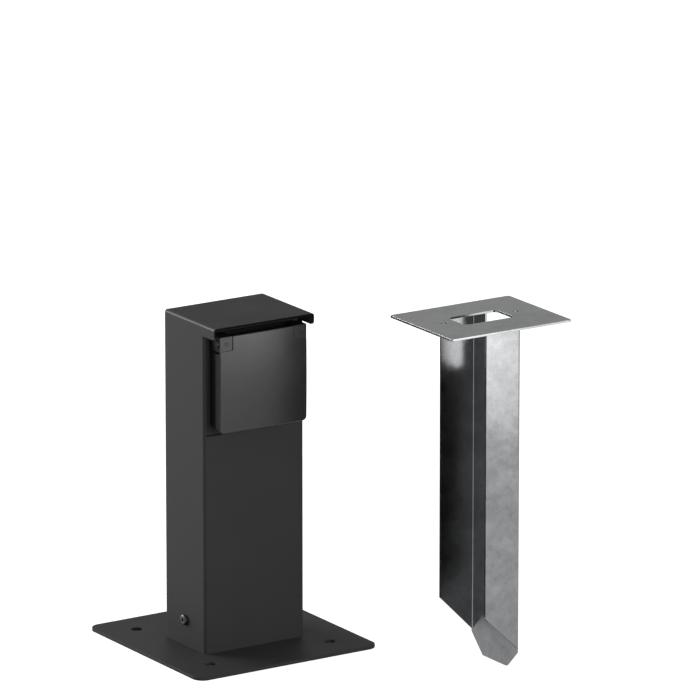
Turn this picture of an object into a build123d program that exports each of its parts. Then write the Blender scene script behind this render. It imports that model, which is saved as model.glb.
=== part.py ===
from build123d import *
from math import hypot
import os

# Garden socket post: a folded steel post on a square base plate, with a hinged-lid
# socket under its hood, and the galvanised ground spike that goes with it.
# Millimetres, +Z up, the socket faces -Y. The origin is the centre of the underside
# of the base plate.

# Driving sizes of the post
base_width = 182.0
base_thickness = 3.0
base_corner_radius = 10.0
anchor_spacing = 120.0
anchor_hole_radius = 5.0
post_width = 100.0
post_depth = 65.0
post_centre_y = -3.0
post_height = 294.0
sheet = 2.0
post_bend_radius = 3.0
hood_overhang = 16.5
hood_cheek_height = 10.0
hood_corner_radius = 3.0
roof_edge_radius = 2.2
edge_softening = 0.4

# Driving sizes of the socket
lid_height = 85.0
lid_below_roof = 8.7
lid_overhang = 1.0
lid_stand = 15.0
lid_corner_radius = 4.0
lid_skirt_depth = 7.0
lid_plate = 2.5
lid_dome_rise = 1.2
lid_edge_radius = 1.0
frame_side_gap = 5.5
frame_drop = 2.4
panel_gap = 4.8
lug_width = 12.1
lug_height = 13.3
lug_proud = 0.6
hinge_behind_lid = 6.0
moulded_wall = 2.0
well_radius = 19.75
well_depth = 17.5
pin_spacing = 19.0
pin_hole_radius = 2.75

# Driving sizes of the ground spike
spike_x = 138.0
spike_y = -174.6
spike_length = 305.0
spike_plate_width = 121.0
spike_plate_depth = 95.0
spike_plate_corner_radius = 2.0
spike_sheet = 2.0
spike_bend_radius = 3.0
channel_width = 35.0
channel_depth = 71.0
tip_width = 36.0
aperture_width = 50.0
aperture_depth = 28.0
aperture_corner_radius = 4.5
spike_hole_spacing = 73.0
spike_hole_radius = 2.9

# Clearances and the overrun of cuts
overrun = 5.0
slide_gap = 0.3
shaft_gap = 0.05
lid_gap = 0.6

# Planes and levels that several pieces share
front_y = post_centre_y - post_depth / 2
inner_half_width = post_width / 2 - sheet
hood_front_y = front_y - hood_overhang
roof_underside_z = post_height - sheet
lid_front_y = front_y - lid_stand
lid_back_y = lid_front_y + lid_skirt_depth
lid_top_z = post_height - lid_below_roof
lid_bottom_z = lid_top_z - lid_height
opening_bottom_z = lid_bottom_z - panel_gap
lid_inner_y = lid_front_y + lid_plate
hinge_y = lid_front_y + hinge_behind_lid
hinge_z = lid_top_z - lug_height / 2
lug_bottom_z = lid_top_z - lug_height
rim_bottom_z = lid_bottom_z + frame_drop
rim_top_z = lug_bottom_z
rim_height = rim_top_z - rim_bottom_z
socket_z = (rim_top_z + rim_bottom_z) / 2
rim_front_y = lid_back_y + lid_gap
frame_width = 2 * (inner_half_width - frame_side_gap)
lid_width = frame_width + 2 * lid_overhang
lug_outer_x = frame_width / 2 + lug_proud
frame_height = lid_top_z - rim_bottom_z
frame_centre_z = (lid_top_z + rim_bottom_z) / 2


def screw_solid(head_radius, head_height, drive_radius, shank_radius, shank_length):
    """A round-head screw along +Z: the head stands above zero, the shank hangs below."""
    crown_share = 0.6
    drive_share = 0.55
    with BuildPart() as screw:
        with BuildSketch(Plane.XY):
            Circle(head_radius)
        extrude(amount=head_height)
        fillet(screw.edges().group_by(Axis.Z)[-1], head_height * crown_share)
        with BuildSketch(Plane.XY):
            Circle(shank_radius)
        extrude(amount=-shank_length)
        with BuildSketch(Plane.XY.offset(head_height)):
            RegularPolygon(drive_radius, side_count=6)
        extrude(amount=-head_height * drive_share, mode=Mode.SUBTRACT)
    return screw.part


def hex_nut(across_flats, height, bore_radius):
    """A hexagon nut that stands on zero."""
    with BuildPart() as nut:
        with BuildSketch(Plane.XY):
            RegularPolygon(across_flats / 2, side_count=6, major_radius=False)
            Circle(bore_radius, mode=Mode.SUBTRACT)
        extrude(amount=height)
    return nut.part


def facing(x, y, z, direction):
    """A place whose own +Z looks along the given direction."""
    return Plane(origin=(x, y, z), z_dir=direction).location


TO_FRONT = (0, -1, 0)
TO_BACK = (0, 1, 0)
TO_LEFT = (-1, 0, 0)
TO_RIGHT = (1, 0, 0)


# Base plate
base_aperture_margin = 3.0
base_aperture_radius = aperture_corner_radius + base_aperture_margin

with BuildPart() as base_plate:
    with BuildSketch(Plane.XY):
        RectangleRounded(base_width, base_width, base_corner_radius)
        with GridLocations(anchor_spacing, anchor_spacing, 2, 2):
            Circle(anchor_hole_radius, mode=Mode.SUBTRACT)
        with GridLocations(spike_hole_spacing, 0, 2, 1):
            Circle(spike_hole_radius, mode=Mode.SUBTRACT)
        RectangleRounded(aperture_width + 2 * base_aperture_margin,
                         aperture_depth + 2 * base_aperture_margin,
                         base_aperture_radius, mode=Mode.SUBTRACT)
    extrude(amount=base_thickness)
    top_face = base_plate.faces().sort_by(Axis.Z)[-1]
    fillet(top_face.outer_wire().edges(), edge_softening)
base_plate.part.label = "base_plate"


# Foot bracket: a U of sheet on the base plate that the post slips over
bracket_sheet = 2.5
bracket_side_gap = 5.5
bracket_ear_height = 44.0
bracket_bend_radius = 2.0
side_screw_height = 23.0
side_screw_z = base_thickness + side_screw_height
side_screw_shank_radius = 2.4
bracket_half_width = inner_half_width - slide_gap
bracket_depth = post_depth - 2 * sheet - 2 * bracket_side_gap
bracket_top_z = base_thickness + bracket_sheet
earth_side_inset = 8.7
earth_inset = 9.0
earth_x = bracket_half_width - bracket_sheet - earth_side_inset
earth_y = post_centre_y - bracket_depth / 2 + earth_inset

with BuildPart() as foot_bracket:
    with BuildSketch(Plane.XZ.offset(-post_centre_y)) as profile:
        with Locations((0, base_thickness + bracket_ear_height / 2)):
            Rectangle(2 * bracket_half_width, bracket_ear_height)
        fillet(profile.vertices().group_by(Axis.Y)[0], bracket_bend_radius + bracket_sheet)
        with BuildSketch(mode=Mode.PRIVATE) as hollow:
            with Locations((0, bracket_top_z + bracket_ear_height / 2)):
                Rectangle(2 * (bracket_half_width - bracket_sheet), bracket_ear_height)
            fillet(hollow.vertices().group_by(Axis.Y)[0], bracket_bend_radius)
        add(hollow.sketch, mode=Mode.SUBTRACT)
    extrude(amount=bracket_depth / 2, both=True)
    with BuildSketch(Plane.XY.offset(base_thickness)):
        RectangleRounded(aperture_width, aperture_depth, aperture_corner_radius)
        with GridLocations(spike_hole_spacing, 0, 2, 1):
            Circle(spike_hole_radius)
    extrude(amount=bracket_sheet, mode=Mode.SUBTRACT)
    with BuildSketch(Plane.YZ):
        with Locations((post_centre_y, side_screw_z)):
            Circle(side_screw_shank_radius + slide_gap)
    extrude(amount=post_width, both=True, mode=Mode.SUBTRACT)
foot_bracket.part.label = "foot_bracket"


# Rubber edging of the cable aperture: a lip on each side of the bracket's floor
edging_wall = 2.2
edging_lip = 2.0
edging_lip_height = 1.6
edging_fit = 0.1

with BuildPart() as cable_edging:
    for start_z, rise, grow in (
        (base_thickness - edging_lip_height, edging_lip_height, edging_lip),
        (base_thickness, bracket_sheet, -edging_fit),
        (bracket_top_z, edging_lip_height, edging_lip),
    ):
        with BuildSketch(Plane.XY.offset(start_z)):
            RectangleRounded(aperture_width + 2 * grow, aperture_depth + 2 * grow,
                             aperture_corner_radius + grow)
            RectangleRounded(aperture_width - 2 * edging_wall, aperture_depth - 2 * edging_wall,
                             aperture_corner_radius - edging_wall / 2, mode=Mode.SUBTRACT)
        extrude(amount=rise)
cable_edging.part.label = "cable_edging"


# Nuts welded inside the bracket's ears, and the screws that hold the post on them
side_nut_flats = 8.0
side_nut_height = 4.0
side_screw_head_radius = 4.75
side_screw_head_height = 2.75
side_screw_drive_radius = 1.75
side_screw_length = 10.0
nut_face_x = bracket_half_width - bracket_sheet

side_nut = hex_nut(side_nut_flats, side_nut_height, side_screw_shank_radius + shaft_gap)
with BuildPart() as weld_nuts:
    with Locations(facing(-nut_face_x, post_centre_y, side_screw_z, TO_RIGHT),
                   facing(nut_face_x, post_centre_y, side_screw_z, TO_LEFT)):
        add(side_nut)
weld_nuts.part.label = "weld_nuts"

side_screw = screw_solid(side_screw_head_radius, side_screw_head_height, side_screw_drive_radius,
                         side_screw_shank_radius, side_screw_length)
with BuildPart() as side_screws:
    with Locations(facing(-post_width / 2, post_centre_y, side_screw_z, TO_LEFT),
                   facing(post_width / 2, post_centre_y, side_screw_z, TO_RIGHT)):
        add(side_screw)
side_screws.part.label = "side_screws"


# Earth stud on the bracket's floor, with two washers and two nuts
stud_radius = 2.0
stud_height = 14.0
stud_collar_radius = 3.2
stud_collar_height = 1.0
washer_radius = 4.5
washer_thickness = 0.8
earth_nut_flats = 7.0
earth_nut_height = 3.2
stack_pitch = washer_thickness + earth_nut_height
stack_start_z = bracket_top_z + stud_collar_height

with BuildPart() as earth_stud:
    with BuildSketch(Plane.XY.offset(bracket_top_z)):
        with Locations((earth_x, earth_y)):
            Circle(stud_collar_radius)
    extrude(amount=stud_collar_height)
    with BuildSketch(Plane.XY.offset(bracket_top_z)):
        with Locations((earth_x, earth_y)):
            Circle(stud_radius)
    extrude(amount=stud_height)
    chamfer(earth_stud.edges().group_by(Axis.Z)[-1], edge_softening)
earth_stud.part.label = "earth_stud"

with BuildPart() as earth_washers:
    for layer in range(2):
        with BuildSketch(Plane.XY.offset(stack_start_z + layer * stack_pitch)):
            with Locations((earth_x, earth_y)):
                Circle(washer_radius)
                Circle(stud_radius + shaft_gap, mode=Mode.SUBTRACT)
        extrude(amount=washer_thickness)
earth_washers.part.label = "earth_washers"

earth_nut = hex_nut(earth_nut_flats, earth_nut_height, stud_radius + shaft_gap)
with BuildPart() as earth_nuts:
    with Locations(*[(earth_x, earth_y, stack_start_z + washer_thickness + layer * stack_pitch)
                     for layer in range(2)]):
        add(earth_nut)
earth_nuts.part.label = "earth_nuts"


# Post shell: folded tube, roof and the two cheeks of the hood in one welded piece
with BuildPart() as post_shell:
    with BuildSketch(Plane.XY.offset(base_thickness)):
        with Locations((0, post_centre_y)):
            RectangleRounded(post_width, post_depth, post_bend_radius)
    extrude(amount=post_height - base_thickness)
    hood_root_y = front_y + post_bend_radius
    with BuildSketch(Plane.YZ):
        with Locations(((hood_front_y + hood_root_y) / 2, post_height - hood_cheek_height / 2)):
            Rectangle(hood_root_y - hood_front_y, hood_cheek_height)
    extrude(amount=post_width / 2, both=True)
    cheek_corner = post_shell.edges().filter_by(Axis.X).group_by(Axis.Y)[0].sort_by(Axis.Z)[0]
    fillet(cheek_corner, hood_corner_radius)
    roof_edges = post_shell.faces().sort_by(Axis.Z)[-1].outer_wire().edges()
    fillet(roof_edges.sort_by(Axis.Y)[1:], roof_edge_radius)
    with BuildSketch(Plane.XY.offset(base_thickness)):
        with Locations((0, post_centre_y)):
            RectangleRounded(post_width - 2 * sheet, post_depth - 2 * sheet,
                             post_bend_radius - sheet)
    extrude(amount=roof_underside_z - base_thickness, mode=Mode.SUBTRACT)
    with BuildSketch(Plane.YZ):
        with Locations(((hood_front_y - overrun + hood_root_y) / 2,
                        (opening_bottom_z + roof_underside_z) / 2)):
            Rectangle(hood_root_y - hood_front_y + overrun, roof_underside_z - opening_bottom_z)
    extrude(amount=inner_half_width, both=True, mode=Mode.SUBTRACT)
    with BuildSketch(Plane.YZ):
        with Locations((post_centre_y, side_screw_z)):
            Circle(side_screw_shank_radius + slide_gap)
    extrude(amount=post_width, both=True, mode=Mode.SUBTRACT)
post_shell.part.label = "post_shell"


# Carrier: a plate with two flanges, welded between the side walls behind the opening
carrier_sheet = 2.0
carrier_setback = 1.5
carrier_overlap = 7.5
carrier_top_gap = 2.0
carrier_flange = 18.0
carrier_bend_radius = 1.0
carrier_window_radius = 6.0
contact_base_width = 44.0
strap_clearance = 0.2
ring_sheet = 1.0
ring_side = 5.6
ring_strip = 1.8
ring_screw_shank_radius = 1.4
strap_inner_x = contact_base_width / 2 + strap_clearance
ring_window = 2 * (strap_inner_x + ring_sheet)
ring_width = ring_window + 2 * ring_side
ring_height = ring_window + 2 * ring_strip
ring_screw_spacing = ring_window + ring_side
carrier_window = ring_window + 2 * slide_gap
carrier_front_y = front_y + sheet + carrier_setback
carrier_back_y = carrier_front_y + carrier_sheet
carrier_bottom_z = opening_bottom_z - carrier_overlap
carrier_height = roof_underside_z - carrier_top_gap - carrier_bottom_z

with BuildPart() as socket_carrier:
    with BuildSketch(Plane.XY.offset(carrier_bottom_z)) as profile:
        with Locations((0, carrier_front_y + carrier_flange / 2)):
            Rectangle(2 * inner_half_width, carrier_flange)
        fillet(profile.vertices().group_by(Axis.Y)[0], carrier_bend_radius + carrier_sheet)
        with BuildSketch(mode=Mode.PRIVATE) as hollow:
            with Locations((0, carrier_back_y + carrier_flange / 2)):
                Rectangle(2 * (inner_half_width - carrier_sheet), carrier_flange)
            fillet(hollow.vertices().group_by(Axis.Y)[0], carrier_bend_radius)
        add(hollow.sketch, mode=Mode.SUBTRACT)
    extrude(amount=carrier_height)
    with BuildSketch(Plane.XZ.offset(-carrier_back_y)):
        with Locations((0, socket_z)):
            RectangleRounded(carrier_window, carrier_window, carrier_window_radius)
            with GridLocations(ring_screw_spacing, 0, 2, 1):
                Circle(ring_screw_shank_radius + shaft_gap)
    extrude(amount=carrier_sheet, mode=Mode.SUBTRACT)
socket_carrier.part.label = "socket_carrier"


# Support ring: the metal plate that carries the contact base on two straps
ring_corner_radius = 3.0
strap_height = 14.0
chamber_depth = 3.5
contact_base_depth = 15.0
face_setback = 2.0
face_front_y = rim_front_y + face_setback
well_floor_y = face_front_y + well_depth
chamber_y = well_floor_y + moulded_wall
contact_front_y = chamber_y + chamber_depth
contact_back_y = contact_front_y + contact_base_depth
ring_front_y = carrier_front_y - ring_sheet
strap_end_y = contact_back_y - moulded_wall

with BuildPart() as support_ring:
    with BuildSketch(Plane.XZ.offset(-carrier_front_y)):
        with Locations((0, socket_z)):
            RectangleRounded(ring_width, ring_height, ring_corner_radius)
            Rectangle(ring_window, ring_window, mode=Mode.SUBTRACT)
            with GridLocations(ring_screw_spacing, 0, 2, 1):
                Circle(ring_screw_shank_radius + slide_gap, mode=Mode.SUBTRACT)
    extrude(amount=ring_sheet)
    with BuildSketch(Plane.XZ.offset(-ring_front_y)):
        with Locations((0, socket_z)):
            with GridLocations(2 * strap_inner_x + ring_sheet, 0, 2, 1):
                Rectangle(ring_sheet, strap_height)
    extrude(amount=-(strap_end_y - ring_front_y))
support_ring.part.label = "support_ring"

ring_screw_head_radius = 2.6
ring_screw_head_height = 1.6
ring_screw_drive_radius = 1.2
ring_screw_length = 7.0
ring_screw = screw_solid(ring_screw_head_radius, ring_screw_head_height, ring_screw_drive_radius,
                         ring_screw_shank_radius, ring_screw_length)
with BuildPart() as ring_screws:
    with Locations(facing(-ring_screw_spacing / 2, ring_front_y, socket_z, TO_FRONT),
                   facing(ring_screw_spacing / 2, ring_front_y, socket_z, TO_FRONT)):
        add(ring_screw)
ring_screws.part.label = "ring_screws"


# Gasket between the socket frame and the carrier
gasket_thickness = 2.0
gasket_inset = 1.0
gasket_window_gap = 1.0
frame_back_y = carrier_front_y - gasket_thickness

with BuildPart() as frame_gasket:
    with BuildSketch(Plane.XZ.offset(-carrier_front_y)):
        with Locations((0, frame_centre_z)):
            Rectangle(frame_width - 2 * gasket_inset, frame_height - 2 * gasket_inset)
        with Locations((0, socket_z)):
            Rectangle(ring_width + 2 * gasket_window_gap, ring_height + 2 * gasket_window_gap,
                      mode=Mode.SUBTRACT)
    extrude(amount=gasket_thickness)
frame_gasket.part.label = "frame_gasket"


# Socket frame: back wall, rim round the face, and the two hinge lugs
frame_wall = 2.5
frame_corner_radius = 4.0
frame_window_width = ring_width + 2 * gasket_window_gap
frame_window_height = ring_height
lug_swing_radius = 8.6
lug_outer_radius = 4.0
lug_inner_radius = 1.0
lug_back_rise = 0.8
knuckle_radius = 3.8
hinge_pin_radius = 1.25
mark_radius = 1.8
mark_width = 0.5
mark_depth = 0.4
ledge_y = frame_back_y - frame_wall
lug_centre_x = lug_outer_x - lug_width / 2
lug_inner_x = lug_outer_x - lug_width

with BuildPart() as hinge_lug:
    with BuildSketch(Plane.XZ.offset(-ledge_y)) as lug_front:
        with Locations((lug_centre_x, hinge_z)):
            Rectangle(lug_width, lug_height)
        inner_corners, outer_corners = lug_front.vertices().group_by(Axis.X)
        fillet(inner_corners.sort_by(Axis.Y)[0], lug_inner_radius)
        fillet(outer_corners.sort_by(Axis.Y)[-1], lug_outer_radius)
    extrude(amount=ledge_y - lid_front_y)
    with BuildSketch(Plane.YZ.offset(lug_centre_x)):
        with Locations((hinge_y, hinge_z)):
            Circle(lug_swing_radius)
            Rectangle(ledge_y - hinge_y, lug_height, align=(Align.MIN, Align.CENTER))
        with Locations(((lid_front_y + ledge_y) / 2, hinge_z)):
            Rectangle(ledge_y - lid_front_y, lug_height, mode=Mode.INTERSECT)
    extrude(amount=lug_width, both=True, mode=Mode.INTERSECT)
    with BuildSketch(Plane.YZ.offset(lug_outer_x)):
        with Locations((hinge_y, hinge_z)):
            Circle(knuckle_radius)
    extrude(amount=lug_back_rise)
    with BuildSketch(Plane.YZ.offset(lug_inner_x)):
        with Locations((hinge_y, hinge_z)):
            Circle(hinge_pin_radius + shaft_gap)
    extrude(amount=lug_width - moulded_wall / 2, mode=Mode.SUBTRACT)
    with BuildSketch(Plane.XZ.offset(-lid_front_y)):
        with Locations((lug_centre_x, hinge_z)):
            Circle(mark_radius)
            Circle(mark_radius - mark_width, mode=Mode.SUBTRACT)
    extrude(amount=-mark_depth, mode=Mode.SUBTRACT)

with BuildPart() as socket_frame:
    with BuildSketch(Plane.XZ.offset(-frame_back_y)):
        with Locations((0, frame_centre_z)):
            RectangleRounded(frame_width, frame_height, frame_corner_radius)
        with Locations((0, socket_z)):
            Rectangle(frame_window_width, frame_window_height, mode=Mode.SUBTRACT)
    extrude(amount=frame_wall)
    with BuildSketch(Plane.XZ.offset(-ledge_y)):
        with Locations((0, socket_z)):
            RectangleRounded(frame_width, rim_height, frame_corner_radius)
            Rectangle(frame_width - 2 * moulded_wall, rim_height - 2 * moulded_wall,
                      mode=Mode.SUBTRACT)
    extrude(amount=ledge_y - rim_front_y)
    add(hinge_lug.part)
    mirror(hinge_lug.part, about=Plane.YZ)
socket_frame.part.label = "socket_frame"


# Socket face: a tray inside the rim, with the round mouth of the plug well
face_corner_radius = 3.0
face_edge_radius = 0.8
face_width = frame_width - 2 * moulded_wall - 2 * slide_gap
face_height = rim_height - 2 * moulded_wall - 2 * slide_gap
face_depth = ledge_y - face_front_y

with BuildPart() as socket_face:
    with BuildSketch(Plane.XZ.offset(-ledge_y)):
        with Locations((0, socket_z)):
            RectangleRounded(face_width, face_height, face_corner_radius)
    extrude(amount=face_depth)
    fillet(socket_face.faces().sort_by(Axis.Y)[0].outer_wire().edges(), face_edge_radius)
    with BuildSketch(Plane.XZ.offset(-ledge_y)):
        with Locations((0, socket_z)):
            RectangleRounded(face_width - 2 * moulded_wall, face_height - 2 * moulded_wall,
                             face_corner_radius - moulded_wall / 2)
    extrude(amount=face_depth - moulded_wall, mode=Mode.SUBTRACT)
    with BuildSketch(Plane.XZ.offset(-ledge_y)):
        with Locations((0, socket_z)):
            Circle(well_radius)
    extrude(amount=face_depth, mode=Mode.SUBTRACT)
socket_face.part.label = "socket_face"


# Plug well: a cup behind the face, with guides for the plug, and the shutter's chamber behind it
guide_width = 4.8
guide_rise = 1.8
clip_slot_width = 6.4
clip_slot_setback = 3.5
centre_screw_shank_radius = 1.45
well_front_y = face_front_y + moulded_wall
well_outer_radius = well_radius + moulded_wall

with BuildPart() as plug_well:
    with BuildSketch(Plane.XZ.offset(-contact_front_y)):
        with Locations((0, socket_z)):
            Circle(well_outer_radius)
    extrude(amount=contact_front_y - well_front_y)
    with BuildSketch(Plane.XZ.offset(-well_floor_y)):
        with Locations((0, socket_z)):
            Circle(well_radius)
    extrude(amount=well_floor_y - well_front_y, mode=Mode.SUBTRACT)
    with BuildSketch(Plane.XZ.offset(-contact_front_y)):
        with Locations((0, socket_z)):
            Circle(well_radius)
    extrude(amount=chamber_depth, mode=Mode.SUBTRACT)
    with BuildSketch(Plane.XZ.offset(-well_floor_y)):
        with Locations((0, socket_z)):
            with GridLocations(2 * well_radius - guide_rise + moulded_wall / 2, 0, 2, 1):
                Rectangle(guide_rise + moulded_wall / 2, guide_width)
    extrude(amount=well_floor_y - well_front_y)
    with BuildSketch(Plane.XZ.offset(-chamber_y)):
        with Locations((0, socket_z)):
            Circle(centre_screw_shank_radius + slide_gap)
            with GridLocations(pin_spacing, 0, 2, 1):
                Circle(pin_hole_radius)
    extrude(amount=moulded_wall, mode=Mode.SUBTRACT)
    with BuildSketch(Plane.XZ.offset(-contact_front_y)):
        with Locations((0, socket_z)):
            with GridLocations(0, 2 * well_radius + moulded_wall / 2, 1, 2):
                Rectangle(clip_slot_width, 2 * moulded_wall)
    extrude(amount=contact_front_y - face_front_y - clip_slot_setback, mode=Mode.SUBTRACT)
plug_well.part.label = "plug_well"


# Earth clip: one spring strip, bent round the contact base, with a nose in each slot
clip_thickness = 0.9
clip_width = 5.0
clip_arm_gap = 0.8
clip_nose_reach = 3.0
clip_nose_length = 3.5
clip_bend_radius = 1.0
clip_tip_setback = 4.5
clip_seat = 0.9
clip_arm = well_radius + clip_arm_gap
clip_back_y = contact_front_y + clip_seat
clip_tip_y = face_front_y + clip_tip_setback
nose_tip_z = clip_arm - clip_nose_reach
nose_points = (
    (clip_tip_y, clip_arm),
    (clip_tip_y + clip_nose_length, nose_tip_z),
    (clip_tip_y + 2 * clip_nose_length, clip_arm),
    (clip_back_y, clip_arm),
)

with BuildPart() as earth_clip:
    with BuildSketch(Plane.YZ):
        with BuildLine():
            upper = [(y, socket_z + z) for y, z in nose_points]
            lower = [(y, socket_z - z) for y, z in reversed(nose_points)]
            FilletPolyline(*upper, *lower, radius=clip_bend_radius)
        trace(line_width=clip_thickness)
    extrude(amount=clip_width / 2, both=True)
    with BuildSketch(Plane.XZ.offset(-clip_back_y)):
        with Locations((0, socket_z)):
            Circle(centre_screw_shank_radius + slide_gap)
    extrude(amount=clip_thickness, both=True, mode=Mode.SUBTRACT)
earth_clip.part.label = "earth_clip"


# Contact base: insulating block with pockets, the clip's groove, guides and a spring shelf
contact_pocket = 9.0
terminal_pocket = 8.6
terminal_block = 8.0
earth_terminal_drop = 13.5
base_block_radius = 3.0
guide_rib_width = 1.2
guide_rib_height = 15.0
shutter_travel = 6.5
shutter_half_width = 12.6
shutter_head_rise = 5.6
spring_room = 4.9
shelf_width = 8.0
shelf_thickness = 1.4
shelf_rise = shutter_head_rise + shutter_travel + spring_room
clip_groove_depth = clip_seat + clip_thickness / 2 + slide_gap
rib_depth = chamber_depth - slide_gap

with BuildPart() as contact_base:
    with BuildSketch(Plane.XZ.offset(-contact_back_y)):
        with Locations((0, socket_z)):
            RectangleRounded(contact_base_width, contact_base_width, base_block_radius)
    extrude(amount=contact_base_depth)
    with BuildSketch(Plane.XZ.offset(-contact_front_y)):
        with Locations((0, socket_z)):
            with GridLocations(2 * (shutter_half_width + slide_gap) + guide_rib_width, 0, 2, 1):
                Rectangle(guide_rib_width, guide_rib_height)
        with Locations((0, socket_z + shelf_rise + shelf_thickness / 2)):
            Rectangle(shelf_width, shelf_thickness)
    extrude(amount=rib_depth)
    with BuildSketch(Plane.XZ.offset(-contact_front_y)):
        with Locations((0, socket_z)):
            Rectangle(clip_width + 2 * slide_gap, contact_base_width + overrun)
    extrude(amount=-clip_groove_depth, mode=Mode.SUBTRACT)
    with BuildSketch(Plane.XZ.offset(-contact_back_y)):
        with Locations((0, socket_z)):
            Circle(centre_screw_shank_radius + shaft_gap)
            with GridLocations(pin_spacing, 0, 2, 1):
                Rectangle(contact_pocket, contact_pocket)
        with Locations((0, socket_z - earth_terminal_drop)):
            Rectangle(terminal_pocket, terminal_pocket)
    extrude(amount=contact_base_depth, mode=Mode.SUBTRACT)
contact_base.part.label = "contact_base"


# Line and neutral contacts: a sprung pair of leaves and a terminal block behind them
leaf_thickness = 0.8
leaf_width = 6.0
leaf_spread = 2.9
leaf_pinch = 2.5
leaf_bend_radius = 0.6
leaf_tip_setback = 0.8
terminal_depth = 6.0
terminal_screw_shank_radius = 1.5
wire_hole_radius = 1.3
terminal_front_y = contact_back_y - terminal_depth
leaf_back_y = terminal_front_y - leaf_thickness / 2
leaf_tip_y = contact_front_y + leaf_tip_setback
leaf_length = leaf_back_y - leaf_tip_y
leaf_pinch_share = 0.4


def terminal(x, z):
    """Clamp block with a wire hole across it and a screw hole from behind."""
    with BuildPart() as block:
        with BuildSketch(Plane.XZ.offset(-contact_back_y)):
            with Locations((x, z)):
                Rectangle(terminal_block, terminal_block)
        extrude(amount=terminal_depth)
        with BuildSketch(Plane.XZ.offset(-contact_back_y)):
            with Locations((x, z)):
                Circle(terminal_screw_shank_radius + shaft_gap)
        extrude(amount=terminal_depth - leaf_thickness, mode=Mode.SUBTRACT)
        with BuildSketch(Plane.XY.offset(z - terminal_block / 2)):
            with Locations((x, contact_back_y - terminal_depth / 2)):
                Circle(wire_hole_radius)
        extrude(amount=terminal_block, mode=Mode.SUBTRACT)
    return block.part


def pin_contact(x):
    """One bent strip that grips a plug pin, on its terminal block."""
    block = terminal(x, socket_z)
    pinch_y = leaf_tip_y + leaf_length * leaf_pinch_share
    with BuildPart() as contact:
        with BuildSketch(Plane.XY.offset(socket_z)):
            with BuildLine():
                FilletPolyline(
                    (x - leaf_spread, leaf_tip_y), (x - leaf_pinch, pinch_y),
                    (x - leaf_spread, leaf_back_y), (x + leaf_spread, leaf_back_y),
                    (x + leaf_pinch, pinch_y), (x + leaf_spread, leaf_tip_y),
                    radius=leaf_bend_radius)
            trace(line_width=leaf_thickness)
        extrude(amount=leaf_width / 2, both=True)
        add(block)
    return contact.part


with BuildPart() as line_contact:
    add(pin_contact(-pin_spacing / 2))
line_contact.part.label = "line_contact"

with BuildPart() as neutral_contact:
    add(pin_contact(pin_spacing / 2))
neutral_contact.part.label = "neutral_contact"

with BuildPart() as earth_terminal:
    add(terminal(0, socket_z - earth_terminal_drop))
    with BuildSketch(Plane.XZ.offset(-terminal_front_y)):
        with Locations((0, socket_z - earth_terminal_drop)):
            Rectangle(clip_width, clip_width)
    extrude(amount=terminal_front_y - clip_back_y - clip_thickness / 2)
earth_terminal.part.label = "earth_terminal"

terminal_screw_head_radius = 2.8
terminal_screw_head_height = 1.8
terminal_screw_drive_radius = 1.2
terminal_screw_length = 4.4
terminal_screw = screw_solid(terminal_screw_head_radius, terminal_screw_head_height,
                             terminal_screw_drive_radius, terminal_screw_shank_radius,
                             terminal_screw_length)
with BuildPart() as terminal_screws:
    with Locations(facing(-pin_spacing / 2, contact_back_y, socket_z, TO_BACK),
                   facing(pin_spacing / 2, contact_back_y, socket_z, TO_BACK),
                   facing(0, contact_back_y, socket_z - earth_terminal_drop, TO_BACK)):
        add(terminal_screw)
terminal_screws.part.label = "terminal_screws"


# Centre screw through the floor of the well
centre_screw_head_radius = 2.8
centre_screw_head_height = 1.6
centre_screw_drive_radius = 1.2
centre_screw_length = 15.0
centre_screw_solid = screw_solid(centre_screw_head_radius, centre_screw_head_height,
                                 centre_screw_drive_radius, centre_screw_shank_radius,
                                 centre_screw_length)
with BuildPart() as centre_screw:
    with Locations(facing(0, well_floor_y, socket_z, TO_FRONT)):
        add(centre_screw_solid)
centre_screw.part.label = "centre_screw"


# Shutter: slides up off the pin holes, against a small spring under the shelf
shutter_half_height = 3.4
shutter_thickness = 2.2
shutter_head_width = 7.0
shutter_notch_gap = 0.5
spring_wire_radius = 0.25
spring_radius = 1.15
spring_turns = 6
spring_gap = 0.3
shutter_front_y = chamber_y + slide_gap
shutter_back_y = shutter_front_y + shutter_thickness
notch_half_width = centre_screw_shank_radius + shutter_notch_gap

with BuildPart() as shutter:
    with BuildSketch(Plane.XZ.offset(-shutter_back_y)):
        with Locations((0, socket_z)):
            Rectangle(2 * shutter_half_width, 2 * shutter_half_height)
        with Locations((0, socket_z + shutter_head_rise / 2)):
            Rectangle(shutter_head_width, shutter_head_rise)
        with Locations((0, socket_z)):
            Circle(notch_half_width, mode=Mode.SUBTRACT)
        with Locations((0, socket_z - shutter_half_height / 2 - overrun / 2)):
            Rectangle(2 * notch_half_width, shutter_half_height + overrun, mode=Mode.SUBTRACT)
    extrude(amount=shutter_thickness)
    ramp_edges = shutter.edges().filter_by(Axis.X).group_by(Axis.Y)[0].group_by(Axis.Z)[0]
    chamfer(ramp_edges, shutter_thickness / 2)
shutter.part.label = "shutter"

spring_base_z = socket_z + shutter_head_rise + spring_gap + spring_wire_radius
spring_top_z = socket_z + shelf_rise - spring_gap - spring_wire_radius
spring_pitch = (spring_top_z - spring_base_z) / spring_turns
spring_y = (shutter_front_y + shutter_back_y) / 2
with BuildPart() as shutter_spring:
    with BuildLine():
        coil = Helix(spring_pitch, spring_top_z - spring_base_z, spring_radius,
                     center=(0, spring_y, spring_base_z))
    with BuildSketch(Plane(coil @ 0, z_dir=coil % 0)):
        Circle(spring_wire_radius)
    sweep()
shutter_spring.part.label = "shutter_spring"


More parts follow.
